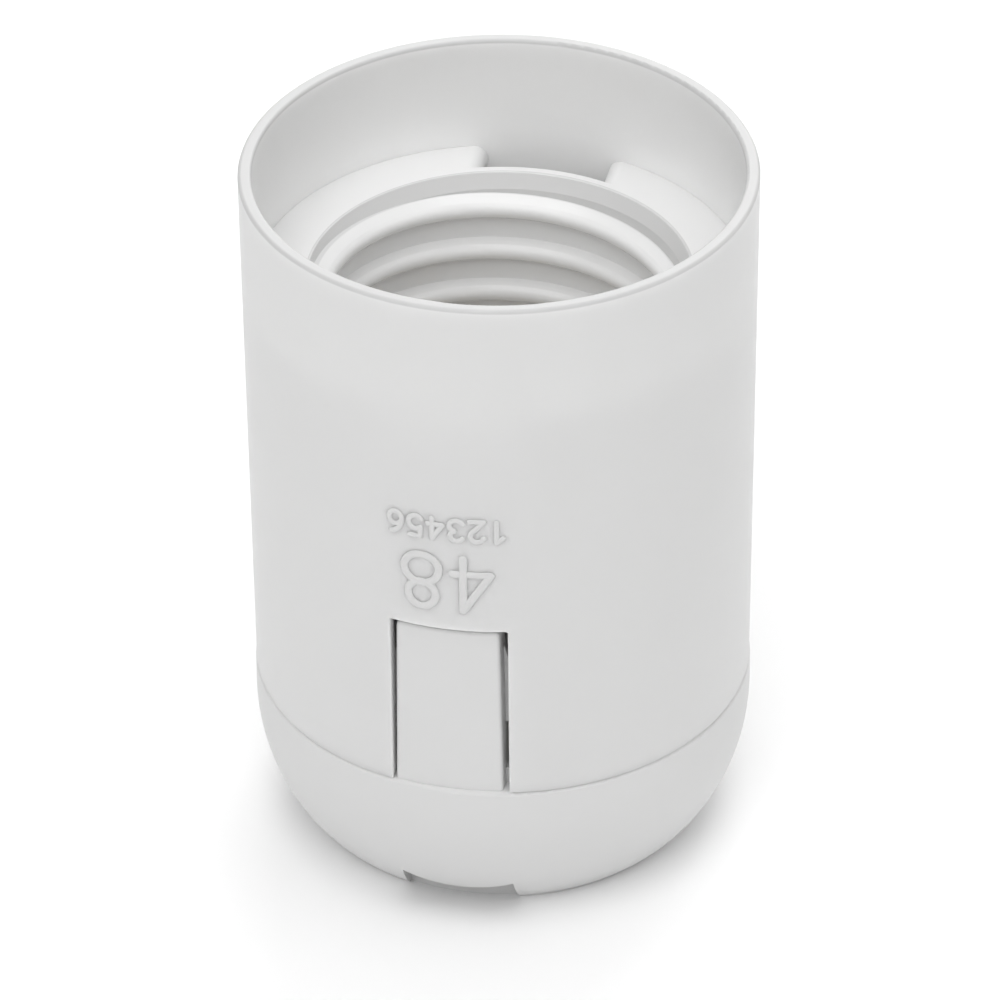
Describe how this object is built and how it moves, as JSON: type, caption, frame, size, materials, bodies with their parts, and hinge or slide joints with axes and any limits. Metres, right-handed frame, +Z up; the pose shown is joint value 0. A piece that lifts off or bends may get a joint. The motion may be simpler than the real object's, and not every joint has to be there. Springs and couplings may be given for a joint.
{
  "type": "lamp holder",
  "caption": "Screw-thread lamp holder with a plain flared skirt, an inner ledge, side latch tongues and a domed cap that has a threaded stem entry in its base.",
  "frame": {"origin": "centre of the base on the plane that it stands on", "axes": "+Z up along the lamp thread towards the mouth, latches on the Y axis, wire terminals on the X axis"},
  "size_m": [0.0374, 0.0374, 0.0547],
  "materials": {
    "skirt_plastic": "white thermoplastic, satin, fine moulded grain",
    "cap_plastic": "white thermoplastic, satin, fine moulded grain",
    "carrier_plastic": "off-white insulating plastic, matt",
    "contact_brass": "rolled spring strip, lightly brushed",
    "terminal_brass": "cut from drawn bar",
    "screw_steel": "zinc plated"
  },
  "bodies": {
    "cap": {"dome_cap": "cap_plastic", "contact_carrier": "carrier_plastic", "centre_contact": "contact_brass", "side_contact": "contact_brass", "centre_terminal": "terminal_brass", "side_terminal": "terminal_brass", "centre_rivet": "contact_brass", "side_rivet": "contact_brass"},
    "skirt": {"skirt": "skirt_plastic"},
    "centre_clamp": {"centre_clamp_screw": "screw_steel"},
    "side_clamp": {"side_clamp_screw": "screw_steel"},
    "lock": {"lock_screw": "screw_steel"}
  },
  "joints": [
    {"name": "skirt_release", "type": "slide", "parent": "cap", "child": "skirt", "axis": [0, 0, 1], "range_m": [0, 0.025]},
    {"name": "centre_clamp_turn", "type": "hinge", "parent": "cap", "child": "centre_clamp", "pos_m": [-0.013, 0, 0.0166], "axis": [-1, 0, 0], "range_deg": [0, 1080]},
    {"name": "side_clamp_turn", "type": "hinge", "parent": "cap", "child": "side_clamp", "pos_m": [0.013, 0, 0.0166], "axis": [1, 0, 0], "range_deg": [0, 1080]},
    {"name": "lock_screw_turn", "type": "hinge", "parent": "cap", "child": "lock", "pos_m": [0, 0, 0.00072], "axis": [0, 0.766, 0.6428], "range_deg": [-180, 720]}
  ]
}
